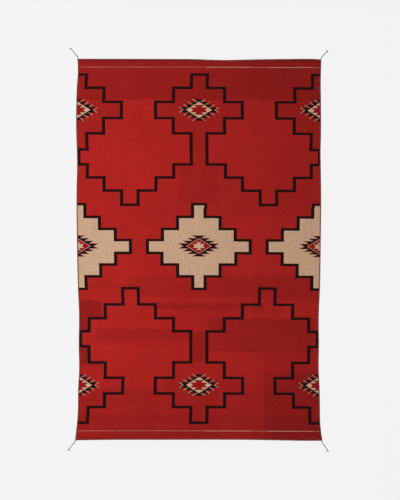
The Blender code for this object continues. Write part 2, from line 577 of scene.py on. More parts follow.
@dataclass(frozen=True)
class WeaveFinish:
    """The cloth's finish: dyed wool in a weft-faced tapestry weave, with its traditional stepped layout, and
    painted shade on its beads, its rim, its ends and its right side.
    """

    warp_pitch: float = 3.28 * MM
    bead_length: float = 1.5 * MM
    bead_crown: float = 2.5
    bead_unevenness: float = 0.12
    # Painted shade between the beads and painted light on their crowns, as shares of the yarn's colour.
    valley_shade: float = 0.72
    crown_shade: float = 0.42
    packing: float = 1.3
    relief_strength: float = 0.7
    relief_depth: float = 0.35 * MM
    fibre_relief: float = 0.25
    sheen: float = 0.04
    half_width: float = 0.6065
    half_length: float = 0.9475
    tilt: float = 3.0 * MM
    upright_stroke: float = 16.4 * MM
    level_stroke: float = 13.2 * MM
    # Painted shade along the cloth's rim beside the edge cords, partly the thicker selvage warps.
    rim_width: float = 4.5 * MM
    rim_shade: float = 0.35
    red: Colour = srgb(184, 29, 26)
    undyed: Colour = srgb(214, 150, 128)
    dark: Colour = srgb(36, 9, 13)
    tan: Colour = srgb(216, 176, 144)
    cream: Colour = srgb(232, 208, 182)
    upper_border: tuple[StepRow, ...] = (
        StepRow(0.8760, 0.0385, 0.5685),
        StepRow(0.8094, 0.1290, 0.4770),
        StepRow(0.7397, 0.2175, 0.3870),
        StepRow(0.6585, 0.1290, 0.4765),
        StepRow(0.5825, 0.0385, 0.5605),
        StepRow(0.5015, 0.0390, 0.6030),
        StepRow(0.4270, 0.1295, 0.5600),
        StepRow(0.3620, 0.2175, 0.4765),
        StepRow(0.2965, 0.3057, 0.3870),
        StepRow(0.2255, 0.3450, 0.3450),
    )
    lower_border: tuple[StepRow, ...] = (
        StepRow(-0.8645, 0.0410, 0.5590),
        StepRow(-0.7855, 0.1308, 0.4770),
        StepRow(-0.7175, 0.2208, 0.3860),
        StepRow(-0.6395, 0.1308, 0.4770),
        StepRow(-0.5625, 0.0410, 0.5595),
        StepRow(-0.4818, 0.0410, 0.6030),
        StepRow(-0.4070, 0.1308, 0.5595),
        StepRow(-0.3415, 0.2208, 0.4770),
        StepRow(-0.2725, 0.3070, 0.3860),
        StepRow(-0.1917, 0.3450, 0.3450),
    )
    cross: tuple[CrossRow, ...] = (
        CrossRow(-0.1950, 0.0318),
        CrossRow(-0.1325, 0.1080),
        CrossRow(-0.0730, 0.1838),
        CrossRow(-0.0155, 0.2585),
        CrossRow(0.0488, 0.1825),
        CrossRow(0.1042, 0.1060),
        CrossRow(0.1645, 0.0318),
        CrossRow(0.2282, 0.0),
    )
    side_cross_extra: float = 5.2 * MM
    upper_drift: float = 2.0 * MM
    upper_drift_from: float = 0.21
    red_ground_lozenge: Lozenge = Lozenge(
        outline_yarn=srgb(208, 164, 134),
        heart_yarn=srgb(222, 184, 148),
        core_yarn=srgb(160, 20, 24),
        ring=Saw(80.0 * MM, 22.8 * MM, 22.0 * MM, 13.3 * MM, 4),
        outline_width=3.4 * MM,
        outline_tip=3.6 * MM,
        heart_across=64.5 * MM,
        heart_along=40.5 * MM,
        core=Saw(31.0 * MM, 18.0 * MM, 12.5 * MM, 12.6 * MM, 2),
    )
    tan_ground_lozenge: Lozenge = Lozenge(
        outline_yarn=srgb(132, 12, 24),
        heart_yarn=srgb(158, 20, 24),
        core_yarn=srgb(214, 182, 148),
        ring=Saw(79.5 * MM, 22.6 * MM, 24.5 * MM, 13.2 * MM, 4),
        outline_width=4.5 * MM,
        outline_tip=5.0 * MM,
        heart_across=59.0 * MM,
        heart_along=35.5 * MM,
        core=Saw(20.5 * MM, 16.5 * MM, 9.0 * MM, 9.7 * MM, 2),
        line_yarn=srgb(206, 150, 134),
        line_share=0.09,
    )
    red_ground_places: tuple[float, float] = (0.6995, -0.6755)
    tan_ground_place: float = 0.0192
    end_lines: tuple[float, float] = (0.9135, -0.9045)
    end_line_width: float = 2.6 * MM
    red_clouds: float = 0.20
    tan_clouds: float = 0.10
    streaks: float = 0.34
    mottle_share: float = 1.6
    rib_share: float = 0.6
    low_bars: float = 0.34
    high_bars: float = 0.12
    bars_fade: tuple[float, float] = (-0.25, 0.0)
    undyed_share: float = 0.09
    band_wander: float = 26.0 * MM
    # Painted shade: the red ground darkens towards the right side, over the span given below.
    right_tone: float = 0.84
    right_fade: tuple[float, float] = (-0.35, 0.65)
    dye_bands: tuple[DyeAndShadeBand, ...] = (
        DyeAndShadeBand(-1.000, 1.000, -0.620, 0.620, 1.05, Ground.FIELD),
        DyeAndShadeBand(0.500, 0.760, -0.620, 0.620, 0.88, Ground.FIGURE),
        DyeAndShadeBand(0.230, 0.500, -0.100, 0.100, 0.89, Ground.FIGURE),
        DyeAndShadeBand(-0.560, -0.410, -0.050, 0.050, 0.80, Ground.FIGURE),
        DyeAndShadeBand(-0.575, -0.250, -0.620, -0.500, 0.68, Ground.FIGURE),
        # Partly a dye batch, partly painted shade at the top end.
        DyeAndShadeBand(0.752, 1.000, -0.620, 0.620, 0.755, Ground.ANY),
        DyeAndShadeBand(-0.130, 0.175, 0.150, 0.620, 1.09),
        DyeAndShadeBand(-0.130, 0.000, -0.620, -0.100, 1.05),
        DyeAndShadeBand(-0.236, -0.131, -0.345, 0.620, 0.91),
        DyeAndShadeBand(-0.261, -0.236, -0.620, 0.620, 1.05),
        DyeAndShadeBand(-0.296, -0.266, -0.245, 0.330, 0.82),
        DyeAndShadeBand(-0.350, -0.260, 0.420, 0.620, 1.12),
        DyeAndShadeBand(-0.456, -0.396, -0.520, -0.045, 0.86),
        DyeAndShadeBand(-0.509, -0.341, 0.045, 0.580, 0.85),
        DyeAndShadeBand(-0.660, -0.509, 0.050, 0.330, 1.04),
        DyeAndShadeBand(-1.000, -0.641, -0.180, 0.100, 0.87),
        DyeAndShadeBand(-1.000, -0.641, 0.100, 0.330, 0.96),
        DyeAndShadeBand(-1.000, -0.695, -0.620, -0.180, 0.85),
        DyeAndShadeBand(-1.000, -0.611, 0.330, 0.620, 0.80),
        # Partly a dye batch, partly painted shade at the bottom end.
        DyeAndShadeBand(-1.000, -0.821, -0.620, 0.620, 0.91),
    )

    def stepped_stroke(self, sheet: NodeSheet, across: Value, along: Value,
                       rows: Sequence[tuple[float, float]]) -> Socket:
        """Draw a stepped line, as the border between two fields.

        Args:
            sheet: The material's node sheet.
            across: Distance out from the line's own middle.
            along: Place along the rug.
            rows: Rising places along, with how far out the line stands from each on.

        Returns:
            1 on the line, or 0.
        """
        reads = [
            sheet.steps(sheet.math("ADD", along, shift), rows)
            for shift in (-self.level_stroke / 2, self.level_stroke / 2)
        ]
        low = sheet.math("SUBTRACT", sheet.total("MINIMUM", reads), self.upright_stroke / 2)
        high = sheet.math("ADD", sheet.total("MAXIMUM", reads), self.upright_stroke / 2)
        return sheet.between(across, low, high)

    def fill_saw(self, sheet: NodeSheet, across: Value, along: Value, saw: Saw) -> Socket:
        """Fill a serrated lozenge.

        Args:
            sheet: The material's node sheet.
            across: Distance out from its middle.
            along: Distance from its middle along the rug, without sign.
            saw: Its teeth.

        Returns:
            1 inside, or 0.
        """
        level = sheet.math("DIVIDE", along, saw.height)
        edge = sheet.math("MULTIPLY_ADD", level, -saw.step, saw.root)
        edge = sheet.math("MULTIPLY_ADD", sheet.math("FRACT", level), saw.step + saw.tooth, edge)
        inside = sheet.math("LESS_THAN", across, edge)
        return sheet.math("MULTIPLY", inside, sheet.math("LESS_THAN", along, saw.rows * saw.height))

    def build(self) -> bpy.types.Material:
        """Make the material.

        Returns:
            The material, which reads the cloth's own map of warps and picks.
        """
        material, sheet, shader = wool_shader("wool_weave", self.sheen)
        plan = sheet.add("ShaderNodeUVMap", uv_map=WEAVE_MAP)
        split = sheet.add("ShaderNodeSeparateXYZ")
        sheet.feed(split.inputs[0], plan.outputs[0])
        warp_place = sheet.math("DIVIDE", split.outputs[0], self.warp_pitch)
        warp = sheet.math("FLOOR", warp_place)
        odd = sheet.math("MULTIPLY", sheet.math("PINGPONG", warp, 1.0), 0.5)
        packed = self.stretched_noise(sheet, warp, split.outputs[1], 0.9, 110.0)
        pick_place = sheet.math("ADD", sheet.math("DIVIDE", split.outputs[1], self.bead_length), odd)
        pick_place = sheet.math("MULTIPLY_ADD", packed, self.packing, pick_place)
        pick = sheet.math("FLOOR", pick_place)
        across = sheet.math("MULTIPLY", sheet.math("ADD", warp, 0.5), self.warp_pitch)
        along = sheet.math("MULTIPLY", sheet.math("SUBTRACT", pick, odd), self.bead_length)

        colour = self.draw(sheet, across, along, warp, pick)
        in_warp = sheet.math("FRACT", warp_place)
        in_bead = sheet.math("FRACT", pick_place)
        crown_across = self.crown(sheet, in_warp)
        crown_along = self.crown(sheet, in_bead)
        bead = sheet.math("MULTIPLY", crown_across, crown_along)
        own = sheet.speckle(sheet.vector(warp, pick))
        uneven = sheet.map_range(own, 0.0, 1.0, 1.0 - self.bead_unevenness, 1.0 + self.bead_unevenness)
        # Painted light and shade on each bead: darker in the valleys between beads and lighter on its crown,
        # times the bead's own random tone.
        painted_bead_shade = sheet.math("MULTIPLY_ADD", bead, self.crown_shade, self.valley_shade)
        bead_tone_and_painted_shade = sheet.math("MULTIPLY", uneven, painted_bead_shade)
        colour = sheet.scale_colour(colour, bead_tone_and_painted_shade)
        sheet.feed(shader.inputs["Base Color"], colour)

        drawn_out = sheet.vector(split.outputs[0], sheet.math("MULTIPLY", split.outputs[1], 5.0))
        relief = sheet.math("MULTIPLY_ADD", sheet.noise(drawn_out, 900.0), self.fibre_relief, bead)
        raise_surface(sheet, shader, relief, self.relief_strength, self.relief_depth)
        return material

    @staticmethod
    def stretched_noise(sheet: NodeSheet, across: Value, along: Value, across_scale: float,
                        along_scale: float, layer: float = 0.0, detail: float = 1.0) -> Socket:
        """Read soft noise that is finer one way than the other.

        Args:
            sheet: The material's node sheet.
            across: Place across the rug.
            along: Place along it.
            across_scale: How fine the noise is across.
            along_scale: How fine it is along.
            layer: Which of its layers to read.
            detail: How many finer layers it has.

        Returns:
            A number around 0.5.
        """
        place = sheet.vector(
            sheet.math("MULTIPLY", across, across_scale), sheet.math("MULTIPLY", along, along_scale), layer)
        return sheet.noise(place, 1.0, detail)

    @staticmethod
    def vary(sheet: NodeSheet, tone: Value, noise: Socket, amount: Value) -> Socket:
        """Make a tone lighter and darker with noise.

        Args:
            sheet: The material's node sheet.
            tone: The tone.
            noise: A number around 0.5.
            amount: How much the tone differs from the darkest to the lightest.

        Returns:
            The new tone.
        """
        off = sheet.math("MULTIPLY_ADD", sheet.math("SUBTRACT", noise, 0.5), amount, 1.0)
        return sheet.math("MULTIPLY", tone, off)

    def crown(self, sheet: NodeSheet, share: Value) -> Socket:
        """Round a bead's section.

        Args:
            sheet: The material's node sheet.
            share: Place across the bead, from 0 to 1.

        Returns:
            0 at its two edges and 1 at its middle.
        """
        off = sheet.math("MULTIPLY_ADD", share, 2.0, -1.0)
        return sheet.math("SUBTRACT", 1.0, sheet.math("POWER", sheet.math("ABSOLUTE", off), self.bead_crown))

    def draw(self, sheet: NodeSheet, across: Socket, along: Socket, warp: Socket, pick: Socket) -> Socket:
        """Lay out the woven fields, lines and lozenges, and darken the rim with painted shade.

        Args:
            sheet: The material's node sheet.
            across: Each bead's place across the rug.
            along: Each bead's place along it.
            warp: Number of the warp under the bead.
            pick: Number of the bead on its warp.

        Returns:
            The yarn's colour.
        """
        right_share = sheet.math("MAXIMUM", sheet.math("DIVIDE", across, self.half_width), 0.0)
        along = sheet.math("MULTIPLY_ADD", right_share, self.tilt, along)
        upper = sheet.math("GREATER_THAN", along, self.upper_drift_from)
        drift = sheet.math("MULTIPLY", upper, self.upper_drift)
        out = sheet.math("ABSOLUTE", sheet.math("SUBTRACT", across, drift))
        strokes = []
        lines = []
        for edge in ("inner", "outer"):
            beyond = -1.0 if edge == "inner" else 1.0
            rows = [(-1.0, beyond)]
            rows += [(row.along, getattr(row, edge)) for row in self.lower_border]
            inward = list(reversed(self.upper_border))
            rows += [(row.along, getattr(outer, edge)) for row, outer in zip(inward, inward[1:])]
            rows.append((self.upper_border[0].along, beyond))
            strokes.append(self.stepped_stroke(sheet, out, along, rows))
            lines.append(sheet.steps(along, rows))
        colour = self.red_ground(sheet, across, along, pick, sheet.between(out, *lines))

        stroke = sheet.total("MAXIMUM", strokes)
        half = self.level_stroke / 2
        middle = sheet.between(along, self.lower_border[-1].along + half, self.upper_border[-1].along - half)
        stroke = sheet.math("SUBTRACT", stroke, sheet.math("MULTIPLY", stroke, middle))
        colour = sheet.mix(stroke, colour, self.dark)

        from_side = sheet.math("SUBTRACT", self.half_width, out)
        for distance, extra in ((out, 0.0), (from_side, self.side_cross_extra)):
            rows = [(-1.0, -1.0)]
            rows += [(row.along, row.half_width + extra if row.half_width else -1.0) for row in self.cross]
            half_width = sheet.steps(along, rows)
            fill = sheet.math("LESS_THAN", distance, half_width)
            colour = sheet.mix(fill, colour, self.tan_field(sheet, across, along, pick))
            border = self.stepped_stroke(sheet, distance, along, rows)
            colour = sheet.mix(border, colour, self.dark)

        nearest = sheet.math("MINIMUM", out, from_side)
        for place in self.red_ground_places:
            colour = self.draw_lozenge(sheet, colour, nearest, along, place, self.red_ground_lozenge)
        colour = self.draw_lozenge(
            sheet, colour, nearest, along, self.tan_ground_place, self.tan_ground_lozenge)

        beaded = sheet.math("LESS_THAN", sheet.math("PINGPONG", warp, 1.0), 0.5)
        for place in self.end_lines:
            line = sheet.between(along, place - self.end_line_width / 2, place + self.end_line_width / 2)
            colour = sheet.mix(sheet.math("MULTIPLY", line, beaded), colour, self.cream)
        # The cloth's rim beside the edge cords is darkened: partly the thicker selvage warps, partly painted
        # shade.
        rim = sheet.total("MAXIMUM", (
            sheet.math("GREATER_THAN", sheet.math("ABSOLUTE", place), half - self.rim_width)
            for place, half in ((across, self.half_width), (along, self.half_length))))
        return sheet.scale_colour(colour, sheet.math("MULTIPLY_ADD", rim, -self.rim_shade, 1.0))

    def red_ground(self, sheet: NodeSheet, across: Socket, along: Socket, pick: Socket,
                   in_field: Socket) -> Socket:
        """Colour the red ground, with its batches of dyed yarn, painted shade at both ends and towards the
        right side, its streaks and a few undyed fibres.

        Args:
            sheet: The material's node sheet.
            across: Each bead's place across the rug.
            along: Each bead's place along it.
            pick: Number of the bead on its warp.
            in_field: 1 inside the stepped fields, or 0.

        Returns:
            The colour.
        """
        tone = self.yarn_tone(sheet, across, along, pick, self.red_clouds, self.streaks)
        bars = self.stretched_noise(sheet, across, along, 1.7, 42.0, 5.0, 3.0)
        depth = sheet.map_range(along, *self.bars_fade, self.low_bars, self.high_bars)
        tone = self.vary(sheet, tone, bars, depth)
        wander = sheet.noise(sheet.vector(sheet.math("MULTIPLY", across, 22.0), 0.0), 1.0)
        along_band = sheet.math("MULTIPLY_ADD", sheet.math("SUBTRACT", wander, 0.5), self.band_wander, along)
        shares = {
            Ground.ANY: 1.0,
            Ground.FIELD: in_field,
            Ground.FIGURE: sheet.math("SUBTRACT", 1.0, in_field),
        }
        for band in self.dye_bands:
            inside = sheet.math(
                "MULTIPLY",
                sheet.between(along_band, band.low, band.high),
                sheet.between(across, band.left, band.right),
            )
            inside = sheet.math("MULTIPLY", inside, shares[band.ground])
            tone = sheet.math("MULTIPLY", tone, sheet.math("MULTIPLY_ADD", inside, band.tone - 1.0, 1.0))
        # Painted shade: the red ground grows darker towards the right side.
        tone = sheet.math("MULTIPLY", tone, sheet.map_range(across, *self.right_fade, 1.0, self.right_tone))
        fibres = self.stretched_noise(sheet, across, along, 160.0, 240.0, 7.0)
        fleck = sheet.map_range(fibres, 0.46, 0.78, 0.0, self.undyed_share)
        return sheet.scale_colour(sheet.mix(fleck, self.red, self.undyed), tone)

    def tan_field(self, sheet: NodeSheet, across: Socket, along: Socket, pick: Socket) -> Socket:
        """Colour the tan ground, with the streaks of its yarn.

        Args:
            sheet: The material's node sheet.
            across: Each bead's place across the rug.
            along: Each bead's place along it.
            pick: Number of the bead on its warp.

        Returns:
            The colour.
        """
        tone = self.yarn_tone(sheet, across, along, pick, self.tan_clouds, self.streaks)
        return sheet.scale_colour(self.tan, tone)

    def yarn_tone(self, sheet: NodeSheet, across: Socket, along: Socket, pick: Socket, cloudy: float,
                  streaky: float) -> Socket:
        """Vary a ground's tone as hand-dyed and hand-spun yarn does.

        Args:
            sheet: The material's node sheet.
            across: Each bead's place across the rug.
            along: Each bead's place along it.
            pick: Number of the bead on its warp.
            cloudy: How much broad soft patches differ.
            streaky: How much short lengths of yarn differ.

        Returns:
            The tone, around 1.
        """
        cloud = sheet.noise(sheet.vector(across, sheet.math("MULTIPLY", along, 1.6)), 5.0, 3.0)
        streak = self.stretched_noise(sheet, across, pick, 14.0, 1.0, 3.0)
        mottle = self.stretched_noise(sheet, across, along, 90.0, 170.0)
        rib = self.stretched_noise(sheet, across, along, 120.0, 2.0)
        tone = 1.0
        for noise, amount in (
            (cloud, cloudy),
            (streak, streaky),
            (mottle, streaky * self.mottle_share),
            (rib, streaky * self.rib_share),
        ):
            tone = self.vary(sheet, tone, noise, amount)
        return tone

    def draw_lozenge(self, sheet: NodeSheet, colour: Socket, nearest: Socket, along: Socket, place: float,
                     lozenge: Lozenge) -> Socket:
        """Draw one row of serrated lozenges.

        Args:
            sheet: The material's node sheet.
            colour: The ground.
            nearest: Distance across to the nearest lozenge's middle.
            along: Place along the rug.
            place: The row's place along the rug.
            lozenge: The lozenge's sizes and yarns.

        Returns:
            The colour with the lozenges on it.
        """
        up = sheet.math("ABSOLUTE", sheet.math("SUBTRACT", along, place))
        ring = lozenge.ring.drawn_in(lozenge.outline_width, lozenge.outline_tip)
        colour = sheet.mix(self.fill_saw(sheet, nearest, up, lozenge.ring), colour, lozenge.outline_yarn)
        colour = sheet.mix(self.fill_saw(sheet, nearest, up, ring), colour, self.dark)
        heart = sheet.math(
            "ADD",
            sheet.math("DIVIDE", nearest, lozenge.heart_across),
            sheet.math("DIVIDE", up, lozenge.heart_along),
        )
        if lozenge.line_yarn:
            line = sheet.math("LESS_THAN", heart, 1.0 + lozenge.line_share)
            colour = sheet.mix(line, colour, lozenge.line_yarn)
        colour = sheet.mix(sheet.math("LESS_THAN", heart, 1.0), colour, lozenge.heart_yarn)
        return sheet.mix(self.fill_saw(sheet, nearest, up, lozenge.core), colour, lozenge.core_yarn)


@dataclass(frozen=True)
class CordFinish:
    """A twisted wool cord's finish, with a colour for each of its strands."""

    name: str
    strands: tuple[Colour, ...]
    fleck: float = 0.25
    patchiness: float = 0.2
    relief_strength: float = 0.6
    relief_depth: float = 0.2 * MM
    sheen: float = 0.03

    def build(self) -> bpy.types.Material:
        """Make the material.

        Returns:
            The material, which tells the strands by the piece's own mark.
        """
        material, sheet, shader = wool_shader(self.name, self.sheen)
        mark = sheet.add("ShaderNodeAttribute", attribute_name=PLY_MARK).outputs["Fac"]
        place = sheet.add("ShaderNodeTexCoord").outputs["Object"]
        colour = self.strands[0]
        for index, strand in enumerate(self.strands[1:]):
            colour = sheet.mix(sheet.math("GREATER_THAN", mark, index + 0.5), colour, strand)
        fibres = sheet.noise(place, 1400.0, 3.0)
        patches = sheet.noise(place, 110.0)
        tone = sheet.math("MULTIPLY_ADD", fibres, self.fleck * 2, 1.0 - self.fleck)
        patchy = sheet.math("MULTIPLY_ADD", patches, self.patchiness * 2, 1.0 - self.patchiness)
        tone = sheet.math("MULTIPLY", tone, patchy)
        sheet.feed(shader.inputs["Base Color"], sheet.scale_colour(colour, tone))
        raise_surface(sheet, shader, fibres, self.relief_strength, self.relief_depth)
        return material


@dataclass(frozen=True)
class Twist:
    """How a cord is laid: plies round its middle line, and strands round each ply."""

    plies: int
    ply_lay: float
    pitch: float
    strand_radius: float
    step: float
    sides: int
    strands: int = 1
    strand_lay: float = 0.0
    strand_pitch: float = 5.0 * MM

    @property
    def reach(self) -> float:
        """How far the cord's surface stands from its middle line."""
        return self.ply_lay + self.strand_lay + self.strand_radius


def new_object(name: str, mesh: bpy.types.Mesh) -> bpy.types.Object:
    """Put a mesh in the scene.

    Args:
        name: The piece's name.
        mesh: Its mesh, in the rug's own frame.

    Returns:
        The object, at the origin.
    """
    mesh.name = name
    piece = bpy.data.objects.new(name, mesh)
    bpy.context.scene.collection.objects.link(piece)
    return piece


class NodeModifier:
    """A geometry nodes tree, and a way to run it once on a guide curve."""

    tree_name: str = ""
    inputs: tuple[tuple[str, str], ...] = ()

    def __init__(self) -> None:
        """Build the tree with its named inputs."""
        self.tree = bpy.data.node_groups.new(self.tree_name, "GeometryNodeTree")
        face = self.tree.interface
        face.new_socket(name="Geometry", in_out="INPUT", socket_type="NodeSocketGeometry")
        for name, kind in self.inputs:
            face.new_socket(name=name, in_out="INPUT", socket_type=f"NodeSocket{kind}")
        face.new_socket(name="Geometry", in_out="OUTPUT", socket_type="NodeSocketGeometry")
        sheet = NodeSheet(self.tree)
        given = sheet.add("NodeGroupInput").outputs
        smooth = sheet.add("GeometryNodeSetShadeSmooth")
        sheet.feed(smooth.inputs["Geometry"], self.lay_out(sheet, given))
        real = sheet.add("GeometryNodeRealizeInstances")
        sheet.feed(real.inputs[0], smooth.outputs[0])
        finish = sheet.add("GeometryNodeSetMaterial")
        sheet.feed(finish.inputs["Geometry"], real.outputs[0])
        sheet.feed(finish.inputs["Material"], given["Finish"])
        sheet.feed(sheet.add("NodeGroupOutput").inputs[0], finish.outputs[0])

    def lay_out(self, sheet: NodeSheet, given: bpy.types.NodeOutputs) -> Socket:
        """Add the tree's own nodes.

        Args:
            sheet: The tree's node sheet.
            given: The tree's inputs.

        Returns:
            The geometry that they make.
        """
        raise NotImplementedError

    def run(self, lines: Sequence[np.ndarray], **values: object) -> bpy.types.Mesh:
        """Run the tree on lines.

        Args:
            lines: Rows of points, each with x, y, z and the cord's thickness there as a share.
            **values: The tree's inputs, by name with low lines for spaces.

        Returns:
            The mesh that it makes.
        """
        curve = bpy.data.curves.new("cord_line", "CURVE")
        curve.dimensions = "3D"
        curve.twist_mode = "Z_UP"
        for line in lines:
            spline = curve.splines.new("POLY")
            spline.points.add(len(line) - 1)
            for point, row in zip(spline.points, line):
                point.co = (*row[:3], 1.0)
                point.radius = row[3]
        guide = bpy.data.objects.new("cord_line", curve)
        bpy.context.scene.collection.objects.link(guide)
        modifier = guide.modifiers.new("nodes", "NODES")
        modifier.node_group = self.tree
        named = {name.replace("_", " ").title(): value for name, value in values.items()}
        for item in self.tree.interface.items_tree:
            if item.in_out == "INPUT" and item.name in named:
                modifier[item.identifier] = named[item.name]
        bpy.context.view_layer.update()
        evaluated = guide.evaluated_get(bpy.context.evaluated_depsgraph_get())
        mesh = bpy.data.meshes.new_from_object(evaluated)
        bpy.data.objects.remove(guide)
        return mesh


class CordTree(NodeModifier):
    """Lays twisted strands along a curve."""

    tree_name = "twisted_cord"
    inputs = (
        ("Plies", "Int"),
        ("Strands", "Int"),
        ("Ply Lay", "Float"),
        ("Strand Lay", "Float"),
        ("Strand Radius", "Float"),
        ("Pitch", "Float"),
        ("Strand Pitch", "Float"),
        ("Step", "Float"),
        ("Sides", "Int"),
        ("Finish", "Material"),
    )

    def lay_out(self, sheet: NodeSheet, given: bpy.types.NodeOutputs) -> Socket:
        """Copy the curve for each strand, move each copy out round the path and give it thickness.

        Args:
            sheet: The tree's node sheet.
            given: The tree's inputs.

        Returns:
            The strands.
        """
        resample = sheet.add("GeometryNodeResampleCurve", mode="LENGTH")
        sheet.feed(resample.inputs["Curve"], given["Geometry"])
        sheet.feed(resample.inputs["Length"], given["Step"])
        copies = sheet.add("GeometryNodeDuplicateElements", domain="SPLINE")
        sheet.feed(copies.inputs["Geometry"], resample.outputs[0])
        sheet.feed(copies.inputs["Amount"], sheet.math("MULTIPLY", given["Plies"], given["Strands"]))
        mark = sheet.add("GeometryNodeStoreNamedAttribute", data_type="FLOAT", domain="CURVE")
        mark.inputs["Name"].default_value = PLY_MARK
        sheet.feed(mark.inputs["Geometry"], copies.outputs["Geometry"])
        sheet.feed(mark.inputs["Value"], copies.outputs["Duplicate Index"])
        read = sheet.add("GeometryNodeInputNamedAttribute", data_type="FLOAT")
        read.inputs["Name"].default_value = PLY_MARK
        index = read.outputs[0]
        length = sheet.add("GeometryNodeSplineParameter").outputs["Length"]
        normal = sheet.add("GeometryNodeInputNormal").outputs[0]
        side = sheet.add("ShaderNodeVectorMath", operation="CROSS_PRODUCT")
        sheet.feed(side.inputs[0], sheet.add("GeometryNodeInputTangent").outputs[0])
        sheet.feed(side.inputs[1], normal)
        radius = sheet.add("GeometryNodeInputRadius").outputs[0]
        strand = sheet.math("FLOOR", sheet.math("DIVIDE", sheet.math("ADD", index, 0.01), given["Plies"]))
        arms = []
        for share, count, pitch, lay in (
            (index, "Plies", "Pitch", "Ply Lay"),
            (strand, "Strands", "Strand Pitch", "Strand Lay"),
        ):
            turns = sheet.math("ADD", sheet.math("DIVIDE", length, given[pitch]),
                               sheet.math("DIVIDE", share, given[count]))
            angle = sheet.math("MULTIPLY", turns, 2 * math.pi)
            reach = sheet.math("MULTIPLY", radius, given[lay])
            for way, turn in ((normal, "COSINE"), (side.outputs[0], "SINE")):
                arms.append(sheet.scale_colour(way, sheet.math("MULTIPLY", reach, sheet.math(turn, angle))))
        offset = arms[0]
        for arm in arms[1:]:
            both = sheet.add("ShaderNodeVectorMath", operation="ADD")
            sheet.feed(both.inputs[0], offset)
            sheet.feed(both.inputs[1], arm)
            offset = both.outputs[0]
        place = sheet.add("GeometryNodeSetPosition")
        sheet.feed(place.inputs["Geometry"], mark.outputs["Geometry"])
        sheet.feed(place.inputs["Offset"], offset)
        ring = sheet.add("GeometryNodeCurvePrimitiveCircle")
        sheet.feed(ring.inputs["Resolution"], given["Sides"])
        sheet.feed(ring.inputs["Radius"], given["Strand Radius"])
        tube = sheet.add("GeometryNodeCurveToMesh")
        sheet.feed(tube.inputs["Curve"], place.outputs[0])
        sheet.feed(tube.inputs["Profile Curve"], ring.outputs[0])
        tube.inputs["Fill Caps"].default_value = True
        if "Scale" in tube.inputs:
            sheet.feed(tube.inputs["Scale"], radius)
        return tube.outputs[0]

    def twist(self, lines: Sequence[np.ndarray], finish: bpy.types.Material, twist: Twist) -> bpy.types.Mesh:
        """Twist a cord along each line.

        Args:
            lines: Rows of points, each with x, y, z and the cord's thickness there as a share.
            finish: The cord's material.
            twist: How the cord is laid.

        Returns:
            One mesh of all the strands.
        """
        return self.run(lines, finish=finish, **vars(twist))


class LoopTree(NodeModifier):
    """Sets small loops of yarn along an edge, across its line."""

    tree_name = "edge_loops"
    inputs = (
        ("Loop", "Object"),
        ("Pitch", "Float"),
        ("Uneven", "Float"),
        ("Mark", "Float"),
        ("Finish", "Material"),
    )

    def lay_out(self, sheet: NodeSheet, given: bpy.types.NodeOutputs) -> Socket:
        """Put a loop at even places along the curve, each turned across it and a little out of true.

        Args:
            sheet: The tree's node sheet.
            given: The tree's inputs.

        Returns:
            The loops.
        """
        points = sheet.add("GeometryNodeCurveToPoints", mode="LENGTH")
        sheet.feed(points.inputs["Curve"], given["Geometry"])
        sheet.feed(points.inputs["Length"], given["Pitch"])
        turn = sheet.add("FunctionNodeAlignRotationToVector", axis="Y", pivot_axis="Z")
        sheet.feed(turn.inputs["Vector"], points.outputs["Tangent"])
        lean = sheet.add("FunctionNodeRandomValue", data_type="FLOAT")
        lean.inputs[2].default_value = -1.0
        lean.inputs[3].default_value = 1.0
        lean.inputs["Seed"].default_value = 11
        askew = sheet.add("FunctionNodeRotateRotation", rotation_space="LOCAL")
        sheet.feed(askew.inputs["Rotation"], turn.outputs[0])
        sheet.feed(askew.inputs["Rotate By"], sheet.vector(
            0.0, 0.0, sheet.math("MULTIPLY", lean.outputs[1], given["Uneven"])))
        loop = sheet.add("GeometryNodeObjectInfo")
        sheet.feed(loop.inputs["Object"], given["Loop"])
        copies = sheet.add("GeometryNodeInstanceOnPoints")
        sheet.feed(copies.inputs["Points"], points.outputs["Points"])
        sheet.feed(copies.inputs["Instance"], loop.outputs["Geometry"])
        sheet.feed(copies.inputs["Rotation"], askew.outputs[0])
        real = sheet.add("GeometryNodeRealizeInstances")
        sheet.feed(real.inputs[0], copies.outputs[0])
        mark = sheet.add("GeometryNodeStoreNamedAttribute", data_type="FLOAT", domain="POINT")
        mark.inputs["Name"].default_value = PLY_MARK
        sheet.feed(mark.inputs["Geometry"], real.outputs[0])
        sheet.feed(mark.inputs["Value"], given["Mark"])
        return mark.outputs[0]


def join(piece: bpy.types.Object, *others: bpy.types.Object) -> None:
    """Join other pieces into one.

    Args:
        piece: The piece that stays.
        *others: Pieces that become part of it.
    """
    with bpy.context.temp_override(active_object=piece, selected_editable_objects=[piece, *others]):
        bpy.ops.object.join()


def with_thickness(points: np.ndarray, thickness: Union[float, np.ndarray] = 1.0) -> np.ndarray:
    """Add a column for the cord's thickness to rows of points.

    Args:
        points: Rows of x, y and z.
        thickness: The thickness as a share of the cord's own, one for all or one for each row.

    Returns:
        The rows with their thickness.
    """
    column = np.broadcast_to(np.asarray(thickness, dtype=float), (len(points),))
    return np.column_stack((points, column))


